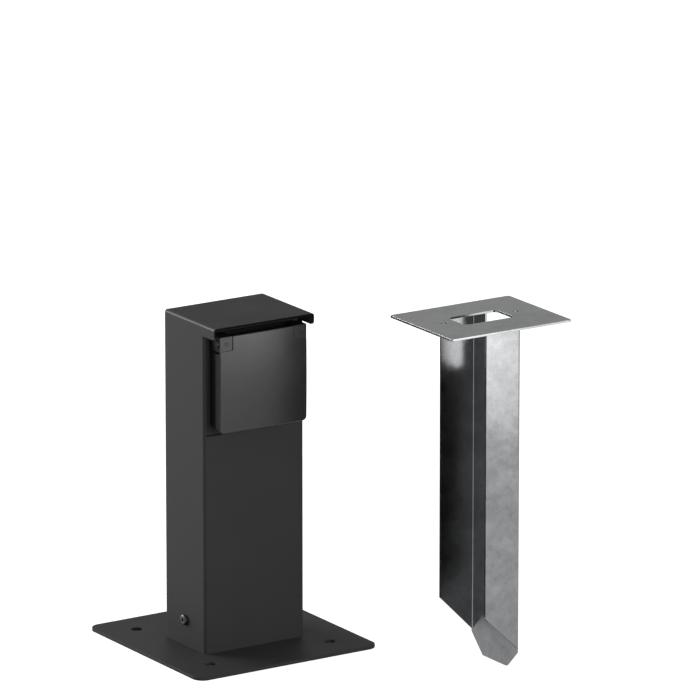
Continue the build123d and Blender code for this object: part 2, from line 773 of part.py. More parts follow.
# Lid: domed plate with a skirt on three sides, notched round the lugs
seal_radius = 26.5
seal_width = 3.0
seal_depth = 3.0
seal_rib_width = 1.6
boss_radius = 3.2
boss_length = 4.4
seal_back_y = face_front_y - slide_gap
seal_front_y = seal_back_y - seal_depth
notch_inner_x = lug_inner_x - lid_gap
boss_inner_x = notch_inner_x - boss_length
half_diagonal = hypot(lid_width, lid_height) / 2
dome_radius = (half_diagonal ** 2 + lid_dome_rise ** 2) / (2 * lid_dome_rise)
swing_radius = lug_swing_radius + slide_gap
notch_width = lid_width / 2 + overrun - notch_inner_x
plate_bottom_z = lug_bottom_z - moulded_wall
plate_height = lid_top_z - plate_bottom_z + overrun
lid_centre_z = (lid_bottom_z + lid_top_z) / 2

with BuildPart() as lid:
    with BuildSketch(Plane.XZ.offset(-lid_back_y)):
        with Locations((0, lid_centre_z)):
            RectangleRounded(lid_width, lid_height, lid_corner_radius)
    extrude(amount=lid_skirt_depth + lid_dome_rise)
    with Locations((0, lid_front_y - lid_dome_rise + dome_radius, lid_centre_z)):
        Sphere(dome_radius, rotation=(90, 0, 0), mode=Mode.INTERSECT)
    fillet(lid.faces().sort_by(Axis.Y)[0].outer_wire().edges(), lid_edge_radius)
    with BuildSketch(Plane.XZ.offset(-lid_back_y)):
        with Locations((0, (lid_bottom_z + lug_bottom_z) / 2)):
            RectangleRounded(lid_width - 2 * moulded_wall,
                             lug_bottom_z - lid_bottom_z - 2 * moulded_wall,
                             lid_corner_radius - moulded_wall)
        with Locations((0, plate_bottom_z + plate_height / 2)):
            Rectangle(lid_width + overrun, plate_height)
    extrude(amount=lid_skirt_depth - lid_plate, mode=Mode.SUBTRACT)
    for side in (-1, 1):
        with BuildSketch(Plane.YZ.offset(side * notch_inner_x)):
            with Locations((hinge_y, hinge_z)):
                Circle(swing_radius)
                Rectangle(2 * swing_radius, lug_height, align=(Align.CENTER, Align.MIN))
        extrude(amount=side * notch_width, mode=Mode.SUBTRACT)
    with BuildSketch(Plane.XZ.offset(-seal_front_y)):
        with Locations((0, socket_z)):
            Circle(seal_radius + seal_rib_width / 2)
            Circle(seal_radius - seal_rib_width / 2, mode=Mode.SUBTRACT)
    extrude(amount=seal_front_y - lid_inner_y)
    for side in (-1, 1):
        boss_centre_x = side * (boss_inner_x + boss_length / 2)
        with BuildSketch(Plane.YZ.offset(boss_centre_x)):
            with Locations((hinge_y, hinge_z)):
                Circle(boss_radius)
            with Locations(((lid_inner_y + hinge_y) / 2, hinge_z)):
                Rectangle(hinge_y - lid_inner_y, 2 * boss_radius)
        extrude(amount=boss_length / 2, both=True)
    with BuildSketch(Plane.YZ):
        with Locations((hinge_y, hinge_z)):
            Circle(hinge_pin_radius + shaft_gap)
    extrude(amount=lug_inner_x, both=True, mode=Mode.SUBTRACT)
lid.part.label = "lid"

with BuildPart() as lid_seal:
    with BuildSketch(Plane.XZ.offset(-seal_back_y)):
        with Locations((0, socket_z)):
            Circle(seal_radius + seal_width / 2)
            Circle(seal_radius - seal_width / 2, mode=Mode.SUBTRACT)
    extrude(amount=seal_depth)
lid_seal.part.label = "lid_seal"


# Hinge pins, and the torsion springs that shut the lid
pin_end_gap = 0.2
lid_spring_turns = 4.25
lid_spring_wire_radius = 0.35
lid_spring_pitch = 1.2
lid_spring_front_leg = 5.0
lid_spring_radius = hinge_y - lid_inner_y - slide_gap - lid_spring_wire_radius
lid_spring_back_leg = ledge_y - slide_gap - hinge_y
pin_outer_x = lug_outer_x - moulded_wall / 2 - pin_end_gap
spring_length = lid_spring_turns * lid_spring_pitch
spring_outer_x = boss_inner_x - slide_gap - lid_spring_wire_radius
spring_inner_x = spring_outer_x - spring_length
pin_inner_x = spring_inner_x - moulded_wall

with BuildPart() as hinge_pins:
    for side in (-1, 1):
        with BuildSketch(Plane.YZ.offset(side * pin_inner_x)):
            with Locations((hinge_y, hinge_z)):
                Circle(hinge_pin_radius)
        extrude(amount=side * (pin_outer_x - pin_inner_x))
hinge_pins.part.label = "hinge_pins"


with BuildPart() as torsion_spring:
    with BuildLine():
        turns = Helix(lid_spring_pitch, spring_length, lid_spring_radius)
    with BuildSketch(Plane(turns @ 0, z_dir=turns % 0)):
        Circle(lid_spring_wire_radius)
    sweep(path=turns)
    for end_point, end_direction, leg in (
        (turns @ 0, -(turns % 0), lid_spring_back_leg),
        (turns @ 1, turns % 1, lid_spring_front_leg),
    ):
        with BuildSketch(Plane(end_point, z_dir=end_direction)):
            Circle(lid_spring_wire_radius)
        extrude(amount=leg)

with BuildPart() as lid_springs:
    with Locations(*[Plane(origin=(x, hinge_y, hinge_z), x_dir=(0, 0, -1), z_dir=TO_LEFT).location
                     for x in (-spring_inner_x, spring_outer_x)]):
        add(torsion_spring.part)
lid_springs.part.label = "lid_springs"


# Ground spike: the plate, and the open channel with slanted flanges and a blunt tip
spike_underside_z = spike_length - spike_sheet
spike_place = Plane.XY.shift_origin((spike_x, spike_y, 0))
tip_rise = (channel_depth - tip_width) / 2
flange_rise = channel_width
web_inner_x = channel_width / 2 - spike_sheet

with BuildPart() as spike_plate:
    with BuildSketch(spike_place.offset(spike_underside_z)):
        RectangleRounded(spike_plate_width, spike_plate_depth, spike_plate_corner_radius)
        RectangleRounded(aperture_width, aperture_depth, aperture_corner_radius,
                         mode=Mode.SUBTRACT)
        with GridLocations(spike_hole_spacing, 0, 2, 1):
            Circle(spike_hole_radius, mode=Mode.SUBTRACT)
    extrude(amount=spike_sheet)
spike_plate.part.label = "spike_plate"

with BuildPart() as spike_channel:
    with BuildSketch(spike_place) as profile:
        Rectangle(channel_width, channel_depth)
        fillet(profile.vertices().group_by(Axis.X)[-1], spike_bend_radius)
        with BuildSketch(mode=Mode.PRIVATE) as hollow:
            with Locations((-spike_sheet, 0)):
                Rectangle(channel_width, channel_depth - 2 * spike_sheet)
            fillet(hollow.vertices().group_by(Axis.X)[-1], spike_bend_radius - spike_sheet)
        add(hollow.sketch, mode=Mode.SUBTRACT)
    extrude(amount=spike_underside_z)
    flange_plane = Plane(origin=(spike_x, spike_y, 0), x_dir=(1, 0, 0), z_dir=(0, -1, 0))
    with BuildSketch(flange_plane):
        with BuildLine():
            Polyline(
                (web_inner_x, -overrun), (web_inner_x, tip_rise + spike_sheet),
                (-channel_width / 2, tip_rise + flange_rise),
                (-channel_width / 2 - overrun, tip_rise + flange_rise + overrun),
                (-channel_width / 2 - overrun, -overrun), close=True)
        make_face()
    extrude(amount=channel_depth, both=True, mode=Mode.SUBTRACT)
    web_plane = Plane(origin=(spike_x, spike_y, 0), x_dir=(0, 1, 0), z_dir=(1, 0, 0))
    with BuildSketch(web_plane) as tip_cuts:
        with BuildLine():
            Polyline(
                (tip_width / 2 - overrun, -overrun), (channel_depth / 2 + overrun, -overrun),
                (channel_depth / 2 + overrun, tip_rise + overrun), close=True)
        make_face()
        mirror(about=Plane.YZ)
    extrude(amount=channel_width, both=True, mode=Mode.SUBTRACT)
spike_channel.part.label = "spike_channel"


pieces = (
    base_plate, foot_bracket, cable_edging, weld_nuts, side_screws, earth_stud, earth_washers,
    earth_nuts, post_shell, socket_carrier, support_ring, ring_screws, frame_gasket,
    socket_frame, socket_face, plug_well, earth_clip, contact_base, line_contact, neutral_contact,
    earth_terminal, terminal_screws, centre_screw, shutter, shutter_spring, lid, lid_seal,
    hinge_pins, lid_springs, spike_plate, spike_channel,
)
os.makedirs("parts", exist_ok=True)
for piece in pieces:
    export_step(piece.part, f"parts/{piece.part.label}.step")
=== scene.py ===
"""Garden socket post and its ground spike: the finished surfaces, the stage and the camera.

Every piece keeps the place and the size of the construction. A piece that shows is a merged copy
of its construction, refined where the real one is smoother, with its edges broken as sheet metal
and mouldings have them, and dressed in a material that is named for what the real piece is.
"""
import logging
from collections.abc import Callable
from dataclasses import dataclass
from enum import Enum
from math import cos, radians, sin

import bmesh
import bpy
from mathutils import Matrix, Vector


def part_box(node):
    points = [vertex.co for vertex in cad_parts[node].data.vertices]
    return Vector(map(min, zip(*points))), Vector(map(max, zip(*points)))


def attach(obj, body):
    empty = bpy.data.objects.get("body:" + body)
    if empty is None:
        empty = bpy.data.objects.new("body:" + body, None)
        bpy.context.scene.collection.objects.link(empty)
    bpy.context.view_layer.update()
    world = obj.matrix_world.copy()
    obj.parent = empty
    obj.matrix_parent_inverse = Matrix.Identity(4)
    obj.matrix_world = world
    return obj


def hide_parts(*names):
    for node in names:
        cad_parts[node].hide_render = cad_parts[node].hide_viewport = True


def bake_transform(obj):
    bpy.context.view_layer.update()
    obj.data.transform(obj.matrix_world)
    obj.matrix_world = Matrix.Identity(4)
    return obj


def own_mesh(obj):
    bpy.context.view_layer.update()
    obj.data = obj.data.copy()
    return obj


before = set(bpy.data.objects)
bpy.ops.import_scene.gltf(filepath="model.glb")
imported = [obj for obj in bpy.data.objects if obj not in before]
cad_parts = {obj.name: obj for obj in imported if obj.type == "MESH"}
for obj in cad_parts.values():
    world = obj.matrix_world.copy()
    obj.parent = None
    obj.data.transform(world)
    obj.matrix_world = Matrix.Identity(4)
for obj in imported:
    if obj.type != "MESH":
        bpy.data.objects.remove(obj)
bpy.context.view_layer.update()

MM = 0.001
MERGE_DISTANCE = 0.002 * MM
FLAT_ANGLE = radians(0.3)
SHARP_ANGLE = radians(32)
# A face whose normal goes further back than this belongs to a piece's sides or back.
FRONT_LIMIT = -0.5
# Noise keeps to the middle of its range, so a finish spreads this part over the whole of its own.
NOISE_LOW, NOISE_HIGH = 0.3, 0.7
# Width of the broken edges, in millimetres.
SHEET_EDGE = 0.4
MOULDED_EDGE = 0.25
SHUTTER_EDGE = 0.2
STRIP_EDGE = 0.1

log = logging.getLogger("socket_post")


class Axis(Enum):
    """The frame's axes that cuts and slots follow."""

    X = Vector((1, 0, 0))
    Z = Vector((0, 0, 1))


def srgb(code: str) -> tuple[float, float, float, float]:
    """Turns a hex colour into the linear values that a shader takes, by the sRGB standard.

    Args:
        code: Six hex digits, two each for red, green and blue.

    Returns:
        Linear red, green and blue, and an alpha of one.
    """
    channels = [int(code[start:start + 2], 16) / 255 for start in (0, 2, 4)]
    linear = [c / 12.92 if c <= 0.04045 else ((c + 0.055) / 1.055) ** 2.4 for c in channels]
    return (*linear, 1.0)


def add_node(tree: bpy.types.NodeTree, kind: str, inputs: dict | None = None,
             **settings: object) -> bpy.types.Node:
    """Adds a node with its settings, its values and its links.

    Args:
        tree: The node tree that takes the node.
        kind: The node's type.
        inputs: For each input's name or number, a value or the output that feeds it.
        **settings: Fields of the node.

    Returns:
        The new node.
    """
    node = tree.nodes.new(kind)
    for name, value in settings.items():
        setattr(node, name, value)
    for name, value in (inputs or {}).items():
        if isinstance(value, bpy.types.NodeSocket):
            tree.links.new(value, node.inputs[name])
        else:
            node.inputs[name].default_value = value
    return node


def per_metre(size_mm: float) -> float:
    """Turns the size of a texture's features into its scale.

    Args:
        size_mm: Size of the features, in millimetres.

    Returns:
        How many features go into a metre.
    """
    return 1 / (size_mm * MM)


def background_rays(tree: bpy.types.NodeTree) -> bpy.types.NodeSocket:
    """One for the rays that show the background, which are those of the camera, of reflections
    and of clear materials, and zero for the rays that light the object.

    Args:
        tree: The node tree that takes the nodes.

    Returns:
        The share, from 0 to 1.
    """
    ray = add_node(tree, "ShaderNodeLightPath")
    mirrored = add_node(tree, "ShaderNodeMath", {0: ray.outputs["Is Camera Ray"],
                                                 1: ray.outputs["Is Glossy Ray"]},
                        operation="MAXIMUM")
    passed = add_node(tree, "ShaderNodeMath", {0: mirrored.outputs[0],
                                               1: ray.outputs["Is Transmission Ray"]},
                      operation="MAXIMUM")
    return passed.outputs[0]


@dataclass(frozen=True)
class Surface:
    """What a finish hands to its shader: sockets for colour, roughness and normal."""

    colour: bpy.types.NodeSocket
    roughness: bpy.types.NodeSocket
    normal: bpy.types.NodeSocket


@dataclass(frozen=True)
class Finish:
    """A real material and how its surface was made.

    Attributes:
        name: The material's name.
        slot: The record's material slot.
        dark: The darker of its two colours, in hex.
        light: The lighter of its two colours, in hex.
        patch_mm: Size of the soft patches between the two colours.
        gloss: Lowest and highest roughness.
        grain_mm: Size of the surface's grain.
        grain_height_mm: Height of the grain.
        metallic: Whether the surface is bare metal, from 0 to 1.
        clear: Strength of the clear reflection over the colour, where 0.5 is the plain level.
        rim: What a bare metal's reflection is tinted with at a grazing angle, in hex.
    """

    name: str
    slot: str
    dark: str
    light: str
    patch_mm: float
    gloss: tuple[float, float]
    grain_mm: float
    grain_height_mm: float
    metallic: float = 0.0
    clear: float = 0.5
    rim: str = "FFFFFF"

    def surface(self, tree: bpy.types.NodeTree, place: bpy.types.NodeSocket) -> Surface:
        """Soft patches of colour and gloss, over an even grain.

        Args:
            tree: The material's nodes.
            place: Object coordinates.

        Returns:
            The sockets for the shader.
        """
        patches = add_node(tree, "ShaderNodeTexNoise",
                           {"Vector": place, "Scale": per_metre(self.patch_mm), "Detail": 4.0})
        grain = add_node(tree, "ShaderNodeTexNoise",
                         {"Vector": place, "Scale": per_metre(self.grain_mm), "Detail": 2.0})
        return self._combine(tree, patches.outputs["Fac"], patches.outputs["Fac"],
                             grain.outputs["Fac"])

    def _combine(self, tree: bpy.types.NodeTree, shade: bpy.types.NodeSocket,
                 dullness: bpy.types.NodeSocket, height: bpy.types.NodeSocket) -> Surface:
        """Spreads patterns over the finish's colours, its gloss and its grain.

        Args:
            tree: The material's nodes.
            shade: How far the colour goes from the darker one to the lighter one.
            dullness: A pattern that sets the roughness.
            height: A pattern that sets the height of the grain.

        Returns:
            The sockets for the shader.
        """
        colour = add_node(tree, "ShaderNodeMix",
                          {0: shade, 6: srgb(self.dark), 7: srgb(self.light)}, data_type="RGBA")
        roughness = add_node(tree, "ShaderNodeMapRange",
                             {"Value": dullness, "From Min": NOISE_LOW, "From Max": NOISE_HIGH,
                              "To Min": self.gloss[0], "To Max": self.gloss[1]})
        bump = add_node(tree, "ShaderNodeBump",
                        {"Height": height, "Distance": self.grain_height_mm * MM,
                         "Strength": 1.0})
        return Surface(colour.outputs[2], roughness.outputs["Result"], bump.outputs["Normal"])

    def material(self) -> bpy.types.Material:
        """Makes the material once, and hands out the same one after that.

        Returns:
            The material.
        """
        made = bpy.data.materials.get(self.name)
        if made:
            return made
        material = bpy.data.materials.new(self.name)
        material.use_nodes = True
        tree = material.node_tree
        tree.nodes.clear()
        place = add_node(tree, "ShaderNodeTexCoord").outputs["Object"]
        surface = self.surface(tree, place)
        shader = add_node(tree, "ShaderNodeBsdfPrincipled",
                          {"Base Color": surface.colour, "Roughness": surface.roughness,
                           "Normal": surface.normal, "Metallic": self.metallic,
                           "Specular IOR Level": self.clear, "Specular Tint": srgb(self.rim)})
        add_node(tree, "ShaderNodeOutputMaterial", {"Surface": shader.outputs["BSDF"]})
        return material


@dataclass(frozen=True)
class GalvanisedSteel(Finish):
    """Zinc crystals as patches of different grey, with a fine cloudy bloom over them.

    Attributes:
        spangle_mm: Size of the zinc crystals.
        spangle_share: How far a crystal's own grey counts against the bloom.
        grain_share: How far the grain counts against crystals and bloom.
        bloom_roughness: How strongly the finest clouds of the bloom show.
    """

    spangle_mm: float = 5.0
    spangle_share: float = 0.15
    grain_share: float = 0.3
    bloom_roughness: float = 0.65

    def surface(self, tree: bpy.types.NodeTree, place: bpy.types.NodeSocket) -> Surface:
        """Crystals under a cloudy bloom, with a fine grain over both.

        Args:
            tree: The material's nodes.
            place: Object coordinates.

        Returns:
            The sockets for the shader.
        """
        crystals = add_node(tree, "ShaderNodeTexVoronoi",
                            {"Vector": place, "Scale": per_metre(self.spangle_mm),
                             "Randomness": 1.0})
        crystal_grey = add_node(tree, "ShaderNodeSeparateColor", {0: crystals.outputs["Color"]})
        bloom = add_node(tree, "ShaderNodeTexNoise",
                         {"Vector": place, "Scale": per_metre(self.patch_mm), "Detail": 6.0,
                          "Roughness": self.bloom_roughness})
        mixed = add_node(tree, "ShaderNodeMix",
                         {0: self.spangle_share, 2: bloom.outputs["Fac"],
                          3: crystal_grey.outputs[0]})
        grain = add_node(tree, "ShaderNodeTexNoise",
                         {"Vector": place, "Scale": per_metre(self.grain_mm), "Detail": 3.0})
        speckled = add_node(tree, "ShaderNodeMix",
                            {0: self.grain_share, 2: mixed.outputs[0],
                             3: grain.outputs["Fac"]})
        spread = add_node(tree, "ShaderNodeMapRange",
                          {"Value": speckled.outputs[0], "From Min": NOISE_LOW,
                           "From Max": NOISE_HIGH})
        return self._combine(tree, spread.outputs["Result"], mixed.outputs[0],
                             speckled.outputs[0])


# Each grain below is drawn coarser than the real one, which would be too fine to show. That of the
# powder coat is about a quarter of a millimetre in truth, and that of the polished nylon less.

# Sheet steel under a fine-textured powder coat: an even dark grey, dull, with a soft sheen.
POWDER_COAT = Finish("powder_coated_steel_fine_texture", "powder_coated_steel", "303030", "373737",
                     patch_mm=45, gloss=(0.52, 0.6), grain_mm=0.8, grain_height_mm=0.04,
                     clear=0.03)
# The same coat over the hood's outer bends, where it is drawn smooth and catches the light.
COATED_BEND = Finish("powder_coated_smooth_bend", "powder_coated_steel", "303030", "373737",
                     patch_mm=45, gloss=(0.46, 0.52), grain_mm=0.8, grain_height_mm=0.02,
                     clear=0.1)
# The sheet's front edges at the hood: the same coat with painted shade, near black for the shade
# under the roof's edge.
PAINTED_SHADE_EDGE = Finish("powder_coated_painted_shade_edge", "powder_coated_steel", "0A0A0A", "101010",
                     patch_mm=10, gloss=(0.6, 0.7), grain_mm=0.8, grain_height_mm=0.04,
                     clear=0.02)
# Glass-filled nylon, moulded in a polished tool: near black, half gloss, slightly uneven.
MOULDED_BLACK = Finish("moulded_black_nylon", "black_moulded_plastic", "121213", "181819",
                       patch_mm=30, gloss=(0.22, 0.28), grain_mm=0.7, grain_height_mm=0.003,
                       clear=0.42)
# The same nylon where the mould is spark-eroded: dull black, which hides marks on the sides.
TEXTURED_BLACK = Finish("textured_black_nylon", "black_moulded_plastic", "161617", "1D1D1E",
                        patch_mm=30, gloss=(0.5, 0.6), grain_mm=0.5, grain_height_mm=0.02,
                        clear=0.04)
# Natural rubber with carbon black: near black and very dull, with a soft bloom.
BLACK_RUBBER = Finish("moulded_black_rubber", "black_rubber", "121212", "1C1C1C",
                      patch_mm=8, gloss=(0.6, 0.78), grain_mm=0.6, grain_height_mm=0.03)
# Steel screws, oiled and blackened: a dark metal, half dull.
BLACKENED_STEEL = Finish("blackened_steel_screws", "blackened_steel", "232425", "34363A",
                         patch_mm=3, gloss=(0.32, 0.45), grain_mm=0.4, grain_height_mm=0.01,
                         metallic=0.6)
# Small turned and pressed parts in bright zinc plate: pale, slightly blue, with faint patches.
ZINC_PLATE = Finish("bright_zinc_plate", "zinc_plated_steel", "A9AEB3", "C9CDD0",
                    patch_mm=4, gloss=(0.24, 0.36), grain_mm=0.5, grain_height_mm=0.01,
                    metallic=1.0)
# Drawn spring wire and pins: a plain steel grey, half bright.
SPRING_STEEL = Finish("drawn_spring_steel", "spring_steel", "8A8C8E", "A3A5A6",
                      patch_mm=3, gloss=(0.2, 0.32), grain_mm=0.3, grain_height_mm=0.005,
                      metallic=1.0)
# Stamped brass: warm yellow, half bright, with darker patches.
STAMPED_BRASS = Finish("stamped_brass", "brass", "B08D4A", "D2B36B",
                       patch_mm=5, gloss=(0.24, 0.38), grain_mm=0.4, grain_height_mm=0.008,
                       metallic=1.0)
# Nickelled bronze strip for the earth clip: a warm grey metal.
NICKELLED_BRONZE = Finish("nickelled_bronze_strip", "spring_bronze", "9C917E", "B9AE9B",
                          patch_mm=4, gloss=(0.22, 0.34), grain_mm=0.4, grain_height_mm=0.006,
                          metallic=1.0)
# Pressed thermoset behind the socket: off-white, dull, slightly cloudy.
PRESSED_THERMOSET = Finish("pressed_pale_thermoset", "pale_thermoset", "C4BEB0", "D5D0C4",
                           patch_mm=6, gloss=(0.42, 0.55), grain_mm=0.6, grain_height_mm=0.02)
# Hot-dip galvanised sheet: a grey metal with crystals a few millimetres wide and dull bloom.
HOT_DIP_ZINC = GalvanisedSteel("hot_dip_galvanised_steel", "galvanised_steel", "6A6B6C", "868788",
                               patch_mm=24, gloss=(0.18, 0.26), grain_mm=1.2,
                               grain_height_mm=0.01, metallic=1.0, rim="D0D0D0")


def copy_of_node(node: str) -> bmesh.types.BMesh:
    """Copies a construction node as one closed mesh with its flat faces joined up.

    Args:
        node: The node's name.

    Returns:
        The copy, for the caller to refine and to hand on.
    """
    shape = bmesh.new()
    shape.from_mesh(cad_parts[node].data)
    bmesh.ops.remove_doubles(shape, verts=shape.verts, dist=MERGE_DISTANCE)
    bmesh.ops.dissolve_limit(shape, angle_limit=FLAT_ANGLE, use_dissolve_boundaries=False,
                             verts=shape.verts, edges=shape.edges, delimit=set())
    return shape


def break_edges(shape: bmesh.types.BMesh, width_mm: float, segments: int = 2) -> None:
    """Rounds every sharp edge by a small amount.

    Args:
        shape: The mesh.
        width_mm: Width of the rounding.
        segments: Faces across the rounding.
    """
    sharp = [edge for edge in shape.edges
             if edge.is_manifold and edge.calc_face_angle(0) > SHARP_ANGLE]
    bmesh.ops.bevel(shape, geom=sharp, offset=width_mm * MM, offset_type="OFFSET",
                    segments=segments, profile=0.5, affect="EDGES", clamp_overlap=True,
                    loop_slide=True, material=-1)


def cut_across(shape: bmesh.types.BMesh, axis: Axis, places: list[float]) -> None:
    """Cuts a mesh into strips, so that a gentle curve has enough faces.

    Args:
        shape: The mesh.
        axis: The direction that the cuts are square to.
        places: Where the cuts lie, in metres.
    """
    for place in places:
        geometry = [*shape.verts, *shape.edges, *shape.faces]
        bmesh.ops.bisect_plane(shape, geom=geometry, dist=MERGE_DISTANCE,
                               plane_co=axis.value * place, plane_no=axis.value)


def cut_out(shape: bmesh.types.BMesh, cutter: bmesh.types.BMesh) -> bmesh.types.BMesh:
    """Takes the space of one closed mesh out of another.

    Args:
        shape: The mesh that is cut, which is freed.
        cutter: The space to take out, which is freed.

    Returns:
        The mesh that is left.
    """
    made = []
    for name, source in (("cut_shape", shape), ("cut_space", cutter)):
        mesh = bpy.data.meshes.new(name)
        source.to_mesh(mesh)
        source.free()
        item = bpy.data.objects.new(name, mesh)
        bpy.context.scene.collection.objects.link(item)
        made.append(item)
    whole, space = made
    difference = whole.modifiers.new("difference", "BOOLEAN")
    difference.operation = "DIFFERENCE"
    difference.solver = "EXACT"
    difference.object = space
    left = whole.evaluated_get(bpy.context.evaluated_depsgraph_get())
    result = bmesh.new()
    result.from_mesh(left.data)
    for item in made:
        mesh = item.data
        bpy.data.objects.remove(item)
        bpy.data.meshes.remove(mesh)
    return result


def add_piece(shape: bmesh.types.BMesh, name: str, body: str | None, finish: Finish,
              *replaced: str) -> bpy.types.Object:
    """Turns a finished mesh into a piece on a body, in place of construction nodes.

    Args:
        shape: The mesh, which is freed.
        name: The piece's name.
        body: The body that it rides on, or None, which leaves it on no body.
        finish: Its finish.
        *replaced: The nodes that it stands for.

    Returns:
        The piece.
    """
    mesh = bpy.data.meshes.new(name)
    shape.to_mesh(mesh)
    shape.free()
    mesh.shade_smooth()
    mesh.set_sharp_from_angle(angle=SHARP_ANGLE)
    mesh.materials.append(finish.material())
    piece = bpy.data.objects.new(name, mesh)
    bpy.context.scene.collection.objects.link(piece)
    weighting = piece.modifiers.new("even_faces", "WEIGHTED_NORMAL")
    weighting.keep_sharp = True
    if body:
        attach(piece, body)
    if replaced:
        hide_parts(*replaced)
    log.info("%s on %s: %d faces, %s", name, body or "two bodies", len(mesh.polygons),
             finish.name)
    return piece


def dress_faces(piece: bpy.types.Object, finish: Finish,
                chosen: Callable[[bpy.types.MeshPolygon], bool]) -> None:
    """Gives some faces of a piece a finish of their own.

    Args:
        piece: The piece, whose other faces keep their finish.
        finish: The finish of the chosen faces.
        chosen: Tells for a face whether it is one of them.
    """
    piece.data.materials.append(finish.material())
    last = len(piece.data.materials) - 1
    for face in piece.data.polygons:
        if chosen(face):
            face.material_index = last


def faces_away(face: bpy.types.MeshPolygon) -> bool:
    """Tells whether a face looks to the sides or to the back of the post.

    Args:
        face: The face.

    Returns:
        True unless the face looks to the front.
    """
    return face.normal.y > FRONT_LIMIT


@dataclass
class NodeGroup:
    """Pieces that keep their construction's shape, each with broken edges and a finish.

    Attributes:
        body: The body that they ride on.
        edge_mm: Width of the broken edges.
        finishes: The finish of each node.
    """

    body: str
    edge_mm: float
    finishes: dict[str, Finish]

    def build(self) -> None:
        """Builds every piece of the group."""
        for node, finish in self.finishes.items():
            shape = copy_of_node(node)
            break_edges(shape, self.edge_mm)
            add_piece(shape, f"{node}_finished", self.body, finish, node)


@dataclass
class PostShell:
    """The folded post with its roof and hood.

    Attributes:
        edge_mm: Width of the broken edges.
        rim_mm: How deep the painted shade on the hood's front edge goes.
        hood_mm: Height of the hood, whose bends take the smooth coat.
        flat_share: Largest part of a normal along one axis that still counts as a bend's.
    """

    edge_mm: float = SHEET_EDGE
    rim_mm: float = 0.3
    hood_mm: float = 22.0
    flat_share: float = 0.985

    def build(self) -> None:
        """Breaks the edges, coats the post, dresses the hood's bends, and paints shade on the
        hood's front edges.
        """
        low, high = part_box("post_shell")
        shape = copy_of_node("post_shell")
        break_edges(shape, self.edge_mm)
        piece = add_piece(shape, "post_shell_finished", "root", POWDER_COAT, "post_shell")
        dress_faces(piece, COATED_BEND, lambda face: (
            face.center.z > high.z - self.hood_mm * MM
            and max(abs(part) for part in face.normal) < self.flat_share))
        # Painted shade: the hood's front edges take a near-black copy of the coat.
        dress_faces(piece, PAINTED_SHADE_EDGE, lambda face: face.center.y < low.y + self.rim_mm * MM)


@dataclass
class SocketFrame:
    """The square frame round the socket, with the two lugs that carry the lid's pins.

    Attributes:
        edge_mm: Width of the broken edges.
    """

    edge_mm: float = MOULDED_EDGE

    def build(self) -> None:
        """Breaks the edges, polishes the front and textures the sides."""
        shape = copy_of_node("socket_frame")
        break_edges(shape, self.edge_mm)
        piece = add_piece(shape, "socket_frame_finished", "root", MOULDED_BLACK, "socket_frame")
        dress_faces(piece, TEXTURED_BLACK, faces_away)


@dataclass
class Lid:
    """The sprung lid of the socket: a shallow dome with a skirt.

    Attributes:
        dome_rise_mm: How far the middle of the dome stands out past its corners.
        strips: Strips that the dome is cut into, in each direction.
        snap_mm: How near the sphere a point lies that is put back on it.
        edge_mm: Width of the broken edges.
    """

    dome_rise_mm: float = 1.2
    strips: int = 18
    snap_mm: float = 0.1
    edge_mm: float = MOULDED_EDGE

    def build(self) -> None:
        """Refines the dome, breaks the edges and dresses the lid."""
        low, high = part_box("lid")
        shape = copy_of_node("lid")
        for axis, start, end in ((Axis.X, low.x, high.x), (Axis.Z, low.z, high.z)):
            step = (end - start) / self.strips
            cut_across(shape, axis, [start + step * count for count in range(1, self.strips)])
        self._round_dome(shape, low, high)
        break_edges(shape, self.edge_mm)
        piece = add_piece(shape, "lid_finished", "lid", MOULDED_BLACK, "lid")
        dress_faces(piece, TEXTURED_BLACK, faces_away)

    def _round_dome(self, shape: bmesh.types.BMesh, low: Vector, high: Vector) -> None:
        """Puts the points of the front face back on one true sphere.

        Args:
            shape: The lid's mesh.
            low: Lowest corner of the lid.
            high: Highest corner of the lid.
        """
        rise = self.dome_rise_mm * MM
        half_diagonal = Vector((high.x - low.x, high.z - low.z)).length / 2
        radius = (half_diagonal ** 2 + rise ** 2) / (2 * rise)
        centre = Vector(((low.x + high.x) / 2, low.y + radius, (low.z + high.z) / 2))
        for vert in shape.verts:
            reach = vert.co - centre
            if reach.y < 0 and abs(reach.length - radius) < self.snap_mm * MM:
                vert.co = centre + reach * (radius / reach.length)


@dataclass
class ShutterSpring:
    """The coil that keeps the shutter down, and that shortens as a plug lifts the shutter.

    Attributes:
        travel_mm: How far the shutter lifts. Not used.
        edge_mm: Width of the broken edges.
    """

    travel_mm: float = 6.5
    edge_mm: float = STRIP_EDGE

    def build(self) -> None:
        """Dresses the coil."""
        shape = copy_of_node("shutter_spring")
        break_edges(shape, self.edge_mm)
        piece = add_piece(shape, "shutter_spring_finished", "root", SPRING_STEEL,
                          "shutter_spring")
        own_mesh(piece)


@dataclass
class LidSprings:
    """The two torsion springs on the hinge pins. One leg of each bears on the frame and the other
    on the lid, so the coil winds up between them.

    Attributes:
        leg_mm: Length of coil at each end that turns as one with its leg. Not used.
        edge_mm: Width of the broken edges.
    """

    leg_mm: float = 0.7
    edge_mm: float = STRIP_EDGE

    def build(self) -> None:
        """Parts the two springs and dresses each."""
        for side, name in ((-1, "left_lid_spring"), (1, "right_lid_spring")):
            shape = copy_of_node("lid_springs")
            other = [vert for vert in shape.verts if vert.co.x * side < 0]
            bmesh.ops.delete(shape, geom=other, context="VERTS")
            break_edges(shape, self.edge_mm)
            piece = add_piece(shape, name, None, SPRING_STEEL, "lid_springs")
            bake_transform(piece)


